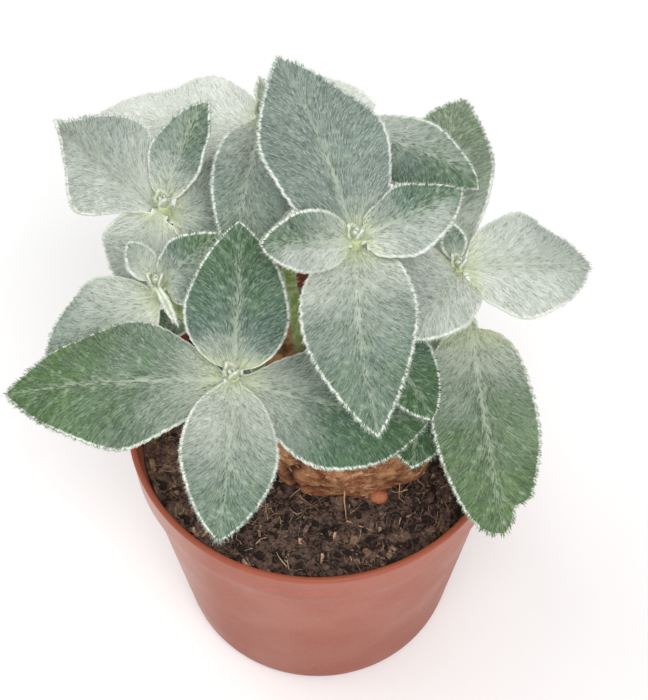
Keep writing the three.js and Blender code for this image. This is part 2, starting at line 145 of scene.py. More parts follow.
# The leaves, as the solids have them but for small changes that follow the photograph more closely. More
# says how far a leaf swings, rolls and curls, how much fuller its base is (shoulder), how much wider its left
# half is than its right (uneven), and its stalk and torn margin where it has them.
LEAVES = {
    "leaf_a_left": leaf(-3, -179, 6, 23, 5, 64, 43, 0.9, 0.87, shoulder=0.1),
    "leaf_a_right": leaf(-3, -19, 2, 29, 7, 56, 40, 1.02, 0.89, swing=26, roll=8, shoulder=0.15),
    "leaf_a_down": leaf(0, -88, 18, 51, 11, 49, 28, 0.97, 0.73, swing=-11, roll=-13, shoulder=0.15),
    "leaf_a_up": leaf(0, 83, 42, 5, 13, 42, 31, 0.72, 0.74, swing=8, roll=-5, shoulder=0.15),
    "leaf_a_low": leaf(-20, 150, -4, 10, 10, 25, 15, 0.9, 0.8),
    "leaf_b_up": leaf(-3, 107.8, 27, 23, 13, 59, 39, 0.83, 0.92, swing=9, roll=10, shoulder=0.4),
    "leaf_b_down": leaf(-4, -91, 14, 45, 12, 57, 33, 0.75, 0.83, swing=14, roll=7, shoulder=0.4),
    "leaf_b_right": leaf(0, 10, 29, 24, 7, 30, 23, 0.82, 0.82, swing=18, roll=4, uneven=-0.1, shoulder=0.5),
    "leaf_b_left": leaf(0, -154, 32, 17, 12, 28, 18, 0.87, 0.63, swing=-6, roll=-45, shoulder=0.3),
    "leaf_b_low": leaf(-28, -61, 0, 15, 10, 43, 21, 1.1, 0.7),
    "leaf_c_left": leaf(-6, 148, 38, 7, 18, 42, 38, 1.08, 1.4, swing=13, curl=-30, uneven=0.1, shoulder=0.1),
    "leaf_c_right": leaf(-4, -15, 12, 10, 10, 30, 30, 0.86, 0.82, roll=30, uneven=0.35, shoulder=0.5),
    "leaf_c_up": leaf(0, 71, 40, 17, 18, 31, 20, 0.86, 0.8, swing=-18, roll=-14, shoulder=0.4),
    "leaf_c_down": leaf(-3.5, -138, -60, 26, 8, 34, 29, 0.85, 0.8, roll=-26, shoulder=0.4),
    "leaf_d_left": leaf(-8, -162, -14, 22, 6, 41, 36, 0.79, 0.85, swing=10, shoulder=0.2),
    "leaf_d_right": leaf(
        0, 12, 53, 10, 22, 26, 21, 0.7, 0.84, swing=-2, roll=21, uneven=-0.25, shoulder=0.4,
    ),
    "leaf_d_up": leaf(0, 133, 49, 10, 12, 12.5, 10, 0.88, 0.6),
    "leaf_d_down": leaf(0, -65, 10, 20, 25, 14, 3, 0.9, 0.8, roll=40),
    "leaf_d_low": leaf(-21, 168, -5, 10, 8, 14, 15, 0.9, 0.8),
    "leaf_e_right": leaf(0, 2, 3, 30, 5, 38, 35, 0.8, 0.75, swing=16, roll=6, shoulder=0.3),
    "leaf_e_left": leaf(
        0, -107, 35, 24, 14, 40, 33, 0.75, 0.7, swing=-20, roll=-30, uneven=-0.3, shoulder=0.6,
    ),
    "leaf_e_up": leaf(0, 107, 60, 12, 13, 12, 8, 0.86, 0.81, swing=5, roll=-2),
    "leaf_e_back": leaf(-7, 102, 11, 21, 14, 67, 31, 1.02, 0.85, swing=-34, roll=-4),
    "leaf_e_front": leaf(
        -20, -86, -1, 46, 11, 62, 32, 0.83, 0.42, swing=10, roll=-3, petiole=10, lead=-20, notch=0.55,
    ),
    "leaf_e_low": leaf(-30, -98, -2, 8, 8, 45, 30, 1.05, 0.8),
    "leaf_f_left": leaf(-8, 160, -11, 12, 11, 58, 40, 0.7, 0.76, swing=-2, roll=4),
    "leaf_f_right": leaf(-3, 10, 16, 23, 15, 31, 21, 0.91, 0.76, swing=-7, roll=5),
    "leaf_f_down": leaf(0, -97, 17, 42, 14, 49, 29, 0.85, 0.79, swing=-6, roll=-4, uneven=0.25),
    "leaf_f_up": leaf(0, 95, 50, 10, 12, 9, 4, 0.88, 0.8),
    "leaf_g_right": leaf(
        0, -29, 18, 39, 14, 41, 24, 0.74, 0.83, swing=2, roll=8, curl=35, uneven=-0.2, shoulder=0.3,
    ),
    "leaf_g_left": leaf(-3, 155, 5, 25, 12, 27, 19, 0.85, 0.8),
    "leaf_g_down": leaf(-5, -118, -5, 30, 12, 28, 18, 0.88, 0.8),
    "leaf_g_up": leaf(-2, 75, 5, 10, 12, 11, 7, 0.88, 0.8),
}

# How each leaf is coloured: how green its far half is, how far the pale base reaches, how white it is
# overall (the felt's own silver, and on the brightest leaves painted light as well), how much it has of the
# yellower green of new growth, and how much paler its left half is, or its right where that is below 0: that
# is painted light, on the half of the leaf that faces the light
LOOKS = {
    "leaf_a_left": (0.95, 0.17, 0, 0.1, 0),
    "leaf_a_right": (0.75, 0.3, 0, 0, 0.05),
    "leaf_a_down": (0.45, 0.55, 0.08, 0, -0.1),
    "leaf_a_up": (0.65, 0.05, 0, 0, 0),
    "leaf_b_up": (0.05, 0, 0.15, 0, 0),
    "leaf_b_down": (0.45, 0.42, 0.1, 0, 0),
    "leaf_b_right": (0.45, 0.25, 0, 0, -0.45),
    "leaf_b_left": (0.5, 0.4, 0.05, 0, 0.5),
    "leaf_c_left": (0.25, 0.45, 0.42, 0, 0.3),
    "leaf_c_right": (0.4, 0.3, 0.1, 0, 0),
    "leaf_c_up": (0.45, 0.25, 0.05, 0, 0.15),
    "leaf_c_down": (0.15, 0.5, 0.45, 0, 0.2),
    "leaf_d_left": (0.35, 0.5, 0.25, 0, 0.45),
    "leaf_d_right": (0.85, 0.15, 0, 0, -0.2),
    "leaf_e_right": (0.25, 0.5, 0.5, 0, -0.2),
    "leaf_e_left": (0.15, 0.5, 0.4, 0, 0.3),
    "leaf_e_back": (0.95, 0.2, 0.22, 0.08, 0),
    "leaf_e_front": (1, 0.25, 0.03, 0.12, 0),
    "leaf_f_left": (0, 0.5, 1, 0, 0),
    "leaf_f_right": (0, 0.4, 1, 0, 0),
    "leaf_f_down": (0.3, 0.3, 0.2, 0, 0),
    "leaf_g_right": (0.65, 0.2, 0.05, 0, 0.25),
    "leaf_e_up": (0.4, 0.3, 0.1, 0, 0),
    "leaf_d_up": (0.1, 0.6, 0.35, 0, 0),
    "leaf_d_down": (0, 0.8, 0.4, 0.4, 0),
}

# The four tiny leaves of a bud: length, distance from the stem's axis, turn and rise
BUD_LEAVES = ((5.4, 0.9, 0, 66), (5.0, 0.9, 180, 70), (3.6, 0.4, 90, 76), (3.2, 0.4, 270, 80))

OLD_LEAF = (0.75, 0.2, 0, 0, 0)  # the low leaves that the others hide
YOUNG_LEAF = (0.1, 0.4, 0.2, 0.35, 0)
# the bud's white share is partly painted light, which lifts it out of the shade among its tiny leaves
BUD = (0, 0.9, 0.4, 0.9, 0)
YOUNG = ("leaf_f_up", "leaf_g_up")


def noise(points, size, seed=0):
    """Smooth random values from -1 to 1 at points, which change over about size."""
    place = np.asarray(points, float) / size
    cell = np.floor(place).astype(np.int64)
    part = place - cell
    part = part * part * (3 - 2 * part)
    total = np.zeros(len(place))
    for corner in range(8):
        step = np.array([corner & 1, corner >> 1 & 1, corner >> 2 & 1])
        at = cell + step
        mixed = at[:, 0] * 73856093 ^ at[:, 1] * 19349663 ^ at[:, 2] * 83492791 ^ (seed + 11) * 40503
        mixed = (mixed ^ mixed >> 13) * 1274126177 & 0x7FFFFFFF
        mixed = (mixed ^ mixed >> 15) & 0xFFFF
        weight = np.prod(np.where(step == 1, part, 1 - part), axis=1)
        total += weight * (mixed / 32767.5 - 1)
    return total


def rough(points, size, layers=3, seed=0):
    """Several layers of noise, each half as large and half as strong as the one before."""
    return sum(noise(points, size / 2**i, seed + i) / 2**i for i in range(layers))


def smooth_step(low, high, x):
    t = np.clip((x - low) / (high - low), 0, 1)
    return t * t * (3 - 2 * t)


def fade(low, high, x):
    """Falls from 1 at low to 0 at high."""
    return 1 - smooth_step(low, high, x)


def unit(vectors):
    return vectors / np.maximum(np.linalg.norm(vectors, axis=-1, keepdims=True), 1e-9)


def column(values):
    return np.asarray(values)[:, None]


def either(count, share, usual, other):
    """Random values, that share of them from the range usual and the rest from the range other."""
    return np.where(rng.uniform(0, 1, count) > share, rng.uniform(*other, count), rng.uniform(*usual, count))


def turned(first, second, angle):
    """The directions at an angle from the first ones towards the second ones."""
    return first * column(np.cos(angle)) + second * column(np.sin(angle))


def direction(turn, rise):
    """Unit vectors at a compass turn and a rise over the level."""
    return np.stack([np.cos(rise) * np.cos(turn), np.cos(rise) * np.sin(turn), np.sin(rise)], 1)


def circle(sides):
    """The angles of the points of one ring."""
    return np.arange(sides) * 2 * math.pi / sides


def repeated(faces, step, count):
    """The faces of count like parts that have step points each."""
    faces = np.asarray(faces)
    return (faces[None] + step * np.arange(count)[:, None, None]).reshape(-1, faces.shape[1])


class Shape:
    """Points, faces and per-point values of one mesh, gathered part by part."""

    def __init__(self):
        self.points = []
        self.faces = []
        self.values = {}
        self.count = 0

    def add(self, points, faces, slot=0, smooth=True, **values):
        """faces is an array with one row of point numbers a face, counted from this part's first point."""
        self.points.append(points)
        self.faces.append((np.asarray(faces) + self.count, slot, smooth))
        for name, value in values.items():
            self.values.setdefault(name, []).append((self.count, np.broadcast_to(value, len(points))))
        self.count += len(points)

    def add_rings(self, points, rows, sides, flip=False, smooth=(True, True), **values):
        """Rings of points joined to a closed body; flip is for rings that run from the top down, and smooth
        is for the first and the last end."""
        first = np.arange(sides)[None] + self.count
        last = first + (rows - 1) * sides
        self.add(points, grid_faces(rows, sides, True), 0, True, **values)
        self.faces.append((first if flip else first[:, ::-1], 0, smooth[0]))
        self.faces.append((last[:, ::-1] if flip else last, 0, smooth[1]))

    def piece(self, name, materials, replaced=()):
        """Makes the Blender object, which rides on the part's one body."""
        mesh = bpy.data.meshes.new(name)
        points = np.concatenate(self.points)
        mesh.vertices.add(len(points))
        mesh.vertices.foreach_set("co", (points * MM).astype(np.float32).ravel())
        sizes = np.concatenate([np.full(len(faces), faces.shape[1]) for faces, _, _ in self.faces])
        corners = np.concatenate([faces.ravel() for faces, _, _ in self.faces])
        mesh.loops.add(len(corners))
        mesh.loops.foreach_set("vertex_index", corners.astype(np.int32))
        mesh.polygons.add(len(sizes))
        starts = np.concatenate([[0], np.cumsum(sizes)[:-1]])
        mesh.polygons.foreach_set("loop_start", starts.astype(np.int32))
        slots = np.concatenate([np.full(len(faces), number) for faces, number, _ in self.faces])
        mesh.polygons.foreach_set("material_index", slots.astype(np.int32))
        smooths = np.concatenate([np.full(len(faces), smooth) for faces, _, smooth in self.faces])
        mesh.polygons.foreach_set("use_smooth", smooths)
        for key, chunks in self.values.items():
            full = np.zeros(len(points), np.float32)
            for start, value in chunks:
                full[start : start + len(value)] = value
            mesh.attributes.new(key, "FLOAT", "POINT").data.foreach_set("value", full)
        for material in materials:
            mesh.materials.append(material)
        mesh.update(calc_edges=True)
        made = bpy.data.objects.new(name, mesh)
        bpy.context.scene.collection.objects.link(made)
        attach(made, "root")
        if replaced:
            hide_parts(*replaced)
        return made


def grid_faces(rows, columns, wrap=False):
    """Quads of a grid of points, row after row; wrap joins the last column to the first."""
    row, col = np.meshgrid(np.arange(rows - 1), np.arange(columns if wrap else columns - 1), indexing="ij")
    after = (col + 1) % columns
    here = row * columns
    above = here + columns
    return np.stack([here + col, here + after, above + after, above + col], -1).reshape(-1, 4)


# Material helpers


class Paint:
    """A material's node tree, with short ways to add what the materials here are made of."""

    def __init__(self, name, rough=0.8, **fixed):
        self.material = bpy.data.materials.new(name)
        self.material.use_nodes = True
        self.tree = self.material.node_tree
        self.shader = self.tree.nodes["Principled BSDF"]
        self.shader.inputs["Roughness"].default_value = rough
        for key, value in fixed.items():
            self.shader.inputs[key.replace("_", " ")].default_value = value
        self.place = self.node("ShaderNodeTexCoord").outputs["Object"]

    def node(self, kind, **settings):
        made = self.tree.nodes.new(kind)
        for key, value in settings.items():
            setattr(made, key, value)
        return made

    def put(self, socket, value):
        if isinstance(value, bpy.types.NodeSocket):
            self.tree.links.new(value, socket)
        elif isinstance(value, (tuple, list)) and len(value) == 3 and socket.type == "RGBA":
            socket.default_value = (*value, 1)
        else:
            socket.default_value = value

    def value(self, name):
        return self.node("ShaderNodeAttribute", attribute_name=name).outputs["Fac"]

    def math(self, kind, first, second, clamp=False):
        made = self.node("ShaderNodeMath", operation=kind, use_clamp=clamp)
        self.put(made.inputs[0], first)
        self.put(made.inputs[1], second)
        return made.outputs[0]

    def spread(self, value, low, high, to_low=0.0, to_high=1.0):
        """The value from low to high, eased onto to_low to to_high."""
        made = self.node("ShaderNodeMapRange", interpolation_type="SMOOTHSTEP")
        for socket, given in zip(made.inputs, (value, low, high, to_low, to_high), strict=False):
            self.put(socket, given)
        return made.outputs[0]

    def mix(self, share, under, over):
        made = self.node("ShaderNodeMix", data_type="RGBA")
        self.put(made.inputs[0], share)
        self.put(made.inputs[6], under)
        self.put(made.inputs[7], over)
        return made.outputs[2]

    def stretched(self, scale, source=None):
        made = self.node("ShaderNodeMapping")
        self.put(made.inputs["Vector"], source or self.place)
        made.inputs["Scale"].default_value = scale
        return made.outputs[0]

    def joined(self, x, y, z):
        made = self.node("ShaderNodeCombineXYZ")
        for socket, value in zip(made.inputs, (x, y, z), strict=True):
            self.put(socket, value)
        return made.outputs[0]

    def noise(self, size, detail=3.0, source=None, roughness=0.55):
        """Noise whose blots are about size millimetres, or units of the source, across."""
        made = self.node("ShaderNodeTexNoise")
        self.put(made.inputs["Vector"], source or self.place)
        made.inputs["Scale"].default_value = 1 / (size if source else size * MM)
        made.inputs["Detail"].default_value = detail
        made.inputs["Roughness"].default_value = roughness
        return made.outputs["Fac"]

    def cells(self, size):
        made = self.node("ShaderNodeTexVoronoi")
        self.put(made.inputs["Vector"], self.place)
        made.inputs["Scale"].default_value = 1 / (size * MM)
        return made

    def bump(self, height, depth, strength=1.0):
        made = self.node("ShaderNodeBump")
        made.inputs["Strength"].default_value = strength
        made.inputs["Distance"].default_value = depth * MM
        self.put(made.inputs["Height"], height)
        self.put(self.shader.inputs["Normal"], made.outputs[0])

    def coat(self, share, red, green, blue):
        """Lays a screen colour over the colour so far, where and as far as share says."""
        self.colour = self.mix(share, self.colour, rgb(red, green, blue))

    def finish(self, roughness=None):
        self.put(self.shader.inputs["Base Color"], self.colour)
        if roughness is not None:
            self.put(self.shader.inputs["Roughness"], roughness)
        return self.material


def rgb(red, green, blue):
    """A screen colour from 0 to 255 as the linear one that a shader takes."""
    parts = [part / 255 for part in (red, green, blue)]
    return tuple(part / 12.92 if part < 0.04045 else ((part + 0.055) / 1.055) ** 2.4 for part in parts)


def lay_felt(paint):
    """The colour of the felt between its streaks, from the shares that each leaf carries."""
    blot = paint.noise(5, 3)
    green = paint.math("ADD", paint.value("green"), paint.spread(blot, 0.3, 0.7, -0.16, 0.16), clamp=True)
    paint.colour = rgb(100, 122, 112)
    paint.coat(green, 76, 113, 62)
    paint.coat(paint.value("pale"), 202, 208, 194)
    # the white share is partly painted light: the bright leaves' extra white and the painted light on one
    # half
    paint.coat(paint.math("MULTIPLY", paint.value("white"), 0.95), 236, 238, 230)
    paint.coat(paint.value("young"), 214, 221, 176)


def leaf_material():
    """Grey-green felt: pale cream at the base and the veins, greener at the tip, white along the margin."""
    paint = Paint("leaf_felt", rough=0.9, Sheen_Weight=0.1, Specular_IOR_Level=0.2)
    combed = paint.joined(paint.value("comb"), paint.value("reach"), paint.value("face"))
    streak = paint.noise(0.4, 3, paint.stretched((1, 0.16, 9), combed), 0.65)
    lay_felt(paint)
    # dark streaks: the skin between the hairs, darkened further with painted shade
    paint.coat(paint.spread(streak, 0.55, 0.35, 0, 0.55), 62, 82, 66)
    paint.coat(paint.spread(streak, 0.55, 0.75, 0, 0.45), 196, 206, 194)
    paint.coat(paint.math("MULTIPLY", paint.value("vein"), 0.7), 200, 211, 190)
    paint.coat(paint.spread(paint.value("rim"), 0.25, 1.0, 0.95, 0), 236, 239, 229)
    paint.bump(streak, 0.2, 0.6)
    return paint.finish()


def hair_material():
    """A hair's tone runs from shadow at 0 through the felt's own colour and silver to white at 1."""
    paint = Paint("leaf_hair", rough=0.75, Sheen_Weight=0.1, Specular_IOR_Level=0.25)
    tone = paint.value("tone")
    lay_felt(paint)
    paint.coat(paint.spread(tone, 0.25, 0, 0, 0.5), 52, 72, 56)
    paint.coat(paint.spread(tone, 0.2, 0.6, 0, 0.55), 206, 216, 206)
    paint.coat(paint.spread(tone, 0.6, 1, 0, 0.9), 243, 245, 236)
    return paint.finish()


def stem_material():
    paint = Paint("stem_felt", rough=0.85, Sheen_Weight=0.15, Specular_IOR_Level=0.25)
    blot = paint.noise(1.6, 4)
    paint.colour = rgb(138, 160, 88)
    paint.coat(paint.spread(blot, 0.35, 0.65), 182, 196, 140)
    paint.coat(paint.value("top"), 212, 219, 170)
    paint.coat(paint.value("foot"), 128, 96, 62)
    paint.bump(blot, 0.2, 0.5)
    return paint.finish()


def pot_material():
    """Matte terracotta-coloured plastic, a little cloudy, with specks and smears of dirt."""
    paint = Paint("pot_plastic", rough=0.5, Specular_IOR_Level=0.45)
    cloud = paint.noise(26, 4)
    fine = paint.noise(1.2, 3)
    rings = paint.noise(3, 2, paint.stretched((4, 4, 260)), 0.5)
    axes = paint.node("ShaderNodeSeparateXYZ")
    paint.put(axes.inputs[0], paint.place)
    paint.colour = rgb(150, 74, 52)
    # painted shade: the plastic is painted darker towards the bottom and lighter up towards the rim
    paint.coat(paint.spread(axes.outputs["Z"], 0, 0.1), 166, 89, 66)
    paint.coat(paint.spread(cloud, 0.3, 0.7, 0, 0.3), 154, 86, 67)
    paint.coat(paint.spread(fine, 0.45, 0.75, 0, 0.12), 203, 146, 126)
    # partly dust, partly a painted sheen: the sides, the left most, are painted paler as if catching the
    # light
    paint.coat(paint.value("haze"), 222, 190, 180)
    # painted shade: the lip is painted a darker orange, as its top catches less light from the floor
    paint.coat(paint.value("lip"), 158, 78, 52)
    # painted light: the inside of the pot is painted paler than the outside, lifting it out of its shade
    paint.coat(paint.value("inside"), 176, 104, 80)
    specks = paint.cells(6.5)
    small = paint.spread(specks.outputs["Distance"], 0.035, 0.06, 1, 0)
    some = paint.spread(paint.noise(22, 2), 0.56, 0.68)
    dirt = paint.math("MULTIPLY", small, some)
    smear = paint.math("MULTIPLY", paint.spread(paint.noise(7, 5), 0.6, 0.78), paint.value("soiled"))
    dirt = paint.math("ADD", dirt, paint.math("MULTIPLY", smear, 0.7), clamp=True)
    paint.coat(dirt, 84, 52, 40)
    roughness = paint.spread(cloud, 0.3, 0.7, 0.42, 0.58)
    paint.bump(paint.math("ADD", paint.math("MULTIPLY", fine, 0.4), rings), 0.05, 0.4)
    return paint.finish(roughness)


def soil_material():
    """Dark moist peat; each crumb, chip and fibre has its own tone."""
    paint = Paint("peat", rough=0.95, Specular_IOR_Level=0.2)
    grain = paint.noise(0.9, 4)
    tone = paint.math("ADD", paint.value("tone"), paint.spread(grain, 0.3, 0.7, -0.14, 0.14), clamp=True)
    paint.colour = rgb(46, 37, 34)
    paint.coat(paint.spread(tone, 0.1, 0.45), 108, 87, 77)
    paint.coat(paint.spread(tone, 0.45, 0.7), 158, 126, 102)
    paint.coat(paint.spread(tone, 0.7, 1.0), 214, 184, 152)
    paint.bump(grain, 0.35, 0.8)
    return paint.finish()


def tuber_material():
    """Brown bark, wrinkled and flaking, redder low down, with painted shade dark in its folds."""
    paint = Paint("tuber_bark", rough=0.8, Specular_IOR_Level=0.25)
    blot = paint.noise(4, 5)
    grain = paint.noise(0.8, 4)
    paint.colour = rgb(150, 92, 60)
    paint.coat(paint.spread(blot, 0.35, 0.65), 204, 150, 108)
    paint.coat(paint.spread(grain, 0.45, 0.75, 0, 0.6), 222, 176, 132)
    paint.coat(paint.spread(grain, 0.42, 0.28, 0, 0.55), 96, 56, 38)
    # painted shade in the folds, cleft and cracks; on some flakes and on the knob the same dark is their own
    # tone
    paint.coat(paint.value("fold"), 74, 44, 32)
    paint.coat(paint.value("red"), 190, 92, 60)
    paint.coat(paint.spread(paint.value("peel"), 0.3, 1, 0, 0.7), 226, 180, 140)
    paint.bump(grain, 0.3, 0.7)
    return paint.finish()


LEAF = leaf_material()
HAIR = hair_material()
STEM = stem_material()
POT = pot_material()
SOIL = soil_material()
BARK = tuber_material()


# Hairs


def add_hairs(shape, root, tip, facing, width, lift, **values):
    """Thin lens-shaped hairs from root to tip, arched along facing; each turns a random way about itself."""
    along = unit(tip - root)
    length = np.linalg.norm(tip - root, axis=1)
    side = unit(np.cross(along, facing))
    side = turned(side, np.cross(side, along), rng.uniform(-0.9, 0.9, len(root)))
    half = column(width / 2) * side
    middle = root + (tip - root) * 0.45 + facing * column(length * lift)
    points = np.stack([root, middle - half, tip, middle + half], 1).reshape(-1, 3)
    faces = np.arange(len(points)).reshape(-1, 4)
    shape.add(points, faces, 1, True, **{key: np.repeat(value, 4) for key, value in values.items()})


# The stems' curves and the leaves' blades, with the formulas of the solids


def stem_curve(letter):
    (x, y), top = SHOOTS[letter]
    top = np.array(top, float)
    foot = np.array([x, y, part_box("stem_" + letter)[0][2] / MM])
    handle = 0.3 * (top[2] - foot[2])
    return foot, foot + UP * handle, top - UP * handle, top


def on_curve(curve, t):
    t = column(t)
    foot, low, high, top = curve
    return (1 - t) ** 3 * foot + 3 * (1 - t) ** 2 * t * low + 3 * (1 - t) * t**2 * high + t**3 * top


def stem_point_at(curve, height):
    t = np.linspace(0, 1, 4001)
    points = on_curve(curve, t)
    return points[min(len(t) - 1, np.searchsorted(points[:, 2], height))]


class Leaf:
    """One leaf's surface, as a function of the distance along its midrib and the share across it."""

    def __init__(self, shoot, looks, out=None, **form):
        self.form = form
        self.looks = looks
        self.length = form["length"]
        self.petiole = form.get("petiole", 0)
        self.total = self.length + self.petiole
        height = SHOOTS[shoot][1][2] + form["level"]
        curve = stem_curve(shoot)
        axis = stem_point_at(curve, height)
        start = math.radians(form.get("lead", form["turn"]))
        aim = np.array([math.cos(start), math.sin(start), 0])
        lean = unit(axis - stem_point_at(curve, height - 1))
        if out is None:
            out = STEM_RADIUS / math.sqrt(1 - (lean @ aim) ** 2) + STEM_GAP
        first = np.array([axis[0], axis[1], height]) + out * aim
        self.base = PETIOLE_HALF_WIDTH if self.petiole else min(BASE_HALF_WIDTH, 0.9 + 0.06 * form["width"])
        step = self.total / MIDRIB_STEPS
        forward, _, _ = self.directions((np.arange(MIDRIB_STEPS) + 0.5) * step)
        self.midrib = np.concatenate([[first], first + np.cumsum(forward * step, axis=0)])
        self.stops = np.arange(MIDRIB_STEPS + 1) * step

    def share(self, distance):
        return np.clip((distance - self.petiole) / self.length, 0, 1)

    def directions(self, distance):
        form = self.form
        share = self.share(distance)
        bend = np.clip(distance / self.petiole, 0, 1) if self.petiole else np.ones(len(distance))
        start = form.get("lead", form["turn"])
        turn = np.radians(start + (form["turn"] - start) * bend + form.get("swing", 0) * share)
        curl = form.get("curl", 0) * np.maximum(0, (share - 0.6) / 0.4) ** 2
        rise = np.radians(form["rise"] - form["droop"] * share - curl)
        roll = np.radians(form.get("roll", 0) * bend)
        forward = direction(turn, rise)
        level = np.stack([-np.sin(turn), np.cos(turn), np.zeros_like(turn)], 1)
        left = turned(level, np.cross(forward, level), roll)
        return forward, left, np.cross(forward, left)

    def half_width(self, distance, side_sign):
        form = self.form
        share = self.share(distance)
        fuller = 1 - form.get("shoulder", 0) * fade(0, 0.45, share)
        shape = np.sin(math.pi * share ** form["broad"]) ** (form["full"] * fuller)
        blade = form["width"] / 2 * shape * (1 - TOOTH / 2)
        blade = blade * (1 + form.get("uneven", 0) * np.sign(side_sign))
        half = np.hypot(blade, self.base * (1 - share) ** 3)
        if "notch" in form:
            torn = 1 - (1 - form["notch"]) * smooth_step(0.86, 0.885, share)
            half = np.where(side_sign > 0, half * torn, half)
        scallop = np.abs(np.sin(math.pi * (distance + 0.4 * side_sign) / SCALLOP_PITCH)) ** 0.7
        depth = 0.5 if form["length"] > 50 else 0.22
        half = half - depth * (1 - scallop) * np.clip(blade / 6, 0, 1)
        return np.maximum(TIP_HALF_WIDTH, half)

    def surface(self, distance, across):
        """Points of the blade's middle layer, with its forward, outward and facing directions there, how far
        each point is from the midrib, and how far the margin is from it."""
        form = self.form
        forward, left, up = self.directions(distance)
        inside = np.clip(distance, 0, self.total)
        centre = np.stack([np.interp(inside, self.stops, self.midrib[:, i]) for i in range(3)], 1)
        centre = centre + forward * column(distance - inside)
        side = np.abs(across)
        sign = np.where(across < 0, -1.0, 1.0)
        reach = self.half_width(distance, sign)
        share = self.share(distance)
        tilt = np.radians(form["fold"] - 8 * side)
        phase = math.radians(form["turn"]) + np.where(across > 0, 2, 0)
        wave = np.sin(4 * math.pi * share + phase) * np.sin(math.pi * share)
        ripple = RIPPLE * form["width"] * side**2 * wave / 40
        outward = left * column(sign * np.cos(tilt)) + up * column(np.sin(tilt))
        facing = up * column(np.cos(tilt)) - left * column(sign * np.sin(tilt))
        sideways = reach * side
        point = centre + left * column(sign * sideways * np.cos(tilt))
        point = point + up * column(sideways * np.sin(tilt) + ripple)
        return point, forward, outward, facing, sideways, reach

    def vein(self, distance, sideways):
        """How much of a vein lies at a place: the midrib, and the side veins that leave it at a slant."""
        share = self.share(distance)
        midrib = np.exp(-((sideways / (0.9 - 0.5 * share)) ** 2)) * (1 - 0.6 * share)
        gap = self.length / 7.5
        slant = (distance - self.petiole - 1.15 * sideways - 0.02 * sideways**2) / gap
        near = np.abs(slant - np.round(slant)) * gap
        reach = np.clip(1.3 - sideways / (0.4 * self.form["width"]), 0, 1)
        branch = np.exp(-((near / 0.55) ** 2)) * reach * (slant > 0.3) * 0.7
        return np.maximum(midrib, branch)

    def comb(self, distance, sideways):
        """Which line of combed hairs a place lies on; they leave the midrib at a slant and turn outwards."""
        soft = COMB_SOFTNESS * self.form["width"]
        return distance - COMB_SLANT * sideways - COMB_SWEEP * soft * (1 - np.exp(-sideways / soft))

    def comb_angle(self, sideways):
        """The angle of those lines from the leaf's own direction."""
        soft = COMB_SOFTNESS * self.form["width"]
        return np.arctan2(1, COMB_SLANT + COMB_SWEEP * np.exp(-sideways / soft))

    def relief(self, point, distance, sideways):
        """How far the felt stands up from the smooth blade: low in the veins, uneven between them."""
        scale = min(1, self.form["width"] / 30)
        edge = np.clip(sideways / 6, 0, 1)
        pillows = 0.5 * edge * noise(point, 9, 3) + 0.22 * noise(point, 3.5, 4)
        return scale * (pillows - 0.55 * self.vein(distance, sideways))

    def tints(self, distance, across, point):
        """The green, pale, white and young shares of the colour; the white share holds the painted light on
        one half.
        """
        green, pale, white, young, side = self.looks
        share = self.share(distance)
        change = 0.1 * noise(point, 7, 9)
        base = fade(0.04, 0.25 + pale, share + change) * min(1, 0.45 + pale)
        # painted light: one half of the blade, across the midrib, is painted whiter and less green as if lit
        # more, fading out near the tip
        painted_light = abs(side) * smooth_step(-0.05, 0.3, np.sign(side) * across) * fade(0.7, 1, share)
        return dict(
            green=np.clip(green * smooth_step(0.1, 0.85, share + change) * (1 - painted_light), 0, 1),
            pale=np.clip(base, 0, 1),
            white=np.clip(white + painted_light, 0, 1),
            young=np.clip(young + 0.6 * fade(0, 0.16, share), 0, 1),
        )

    def add_blade(self, shape):
        rows = int(np.clip(self.total / (0.75 if self.length > 20 else 0.5), 10, 90)) + 1
        columns = 2 * int(np.clip(self.form["width"] / 4.2, 3, 9)) + 1
        distance = np.repeat(np.linspace(-INWARD, self.total, rows), columns)
        spaced = np.sin(np.linspace(-1, 1, columns) * math.pi / 2 * 0.8) / math.sin(math.pi / 2 * 0.8)
        across = np.tile(spaced, rows)
        point, _, _, facing, sideways, reach = self.surface(distance, across)
        point = point + facing * column(self.relief(point, distance, sideways))
        thick = self.thickness(across)
        rib = 0.5 * min(1, self.form["width"] / 20) * np.exp(-((sideways / 1.1) ** 2))
        rib = rib * (1 - self.share(distance))
        values = self.tints(distance, across, point)
        values.update(vein=self.vein(distance, sideways), comb=self.comb(distance, sideways))
        values.update(rim=reach - sideways, reach=sideways)
        count = len(point)
        top = grid_faces(rows, columns)
        shape.add(point + facing * column(thick / 2), top, 0, True, face=1.0, **values)
        under = point - facing * column(thick / 2 + rib)
        values["pale"] = np.clip(values["pale"] + 0.35, 0, 1)
        shape.add(under, top[:, ::-1], 0, True, face=3.0, **values)
        index = np.arange(count).reshape(rows, columns)
        ring = np.concatenate([index[0], index[1:, -1], index[-1, -2::-1], index[-2:0:-1, 0]])
        after = np.roll(ring, -1)
        walls = np.stack([ring, ring + count, after + count, after], 1) + shape.count - 2 * count
        shape.faces.append((walls, 0, True))

    def places(self, count):
        """Random places, even over the blade, as distance and share across."""
        distance = rng.uniform(0, self.total, 3 * count + 50)
        across = rng.uniform(-1, 1, len(distance))
        half = self.half_width(distance, np.sign(across))
        keep = rng.uniform(0, half.max(), len(distance)) < half
        return distance[keep][:count], across[keep][:count]

    def area(self):
        distance = np.linspace(0, self.total, 100)
        return 2 * self.half_width(distance, np.ones(100)).mean() * self.total

    def thickness(self, across):
        thick = LEAF_THICKNESS + (LEAF_EDGE_THICKNESS - LEAF_THICKNESS) * np.abs(across)
        return thick * self.form.get("thick", 1)

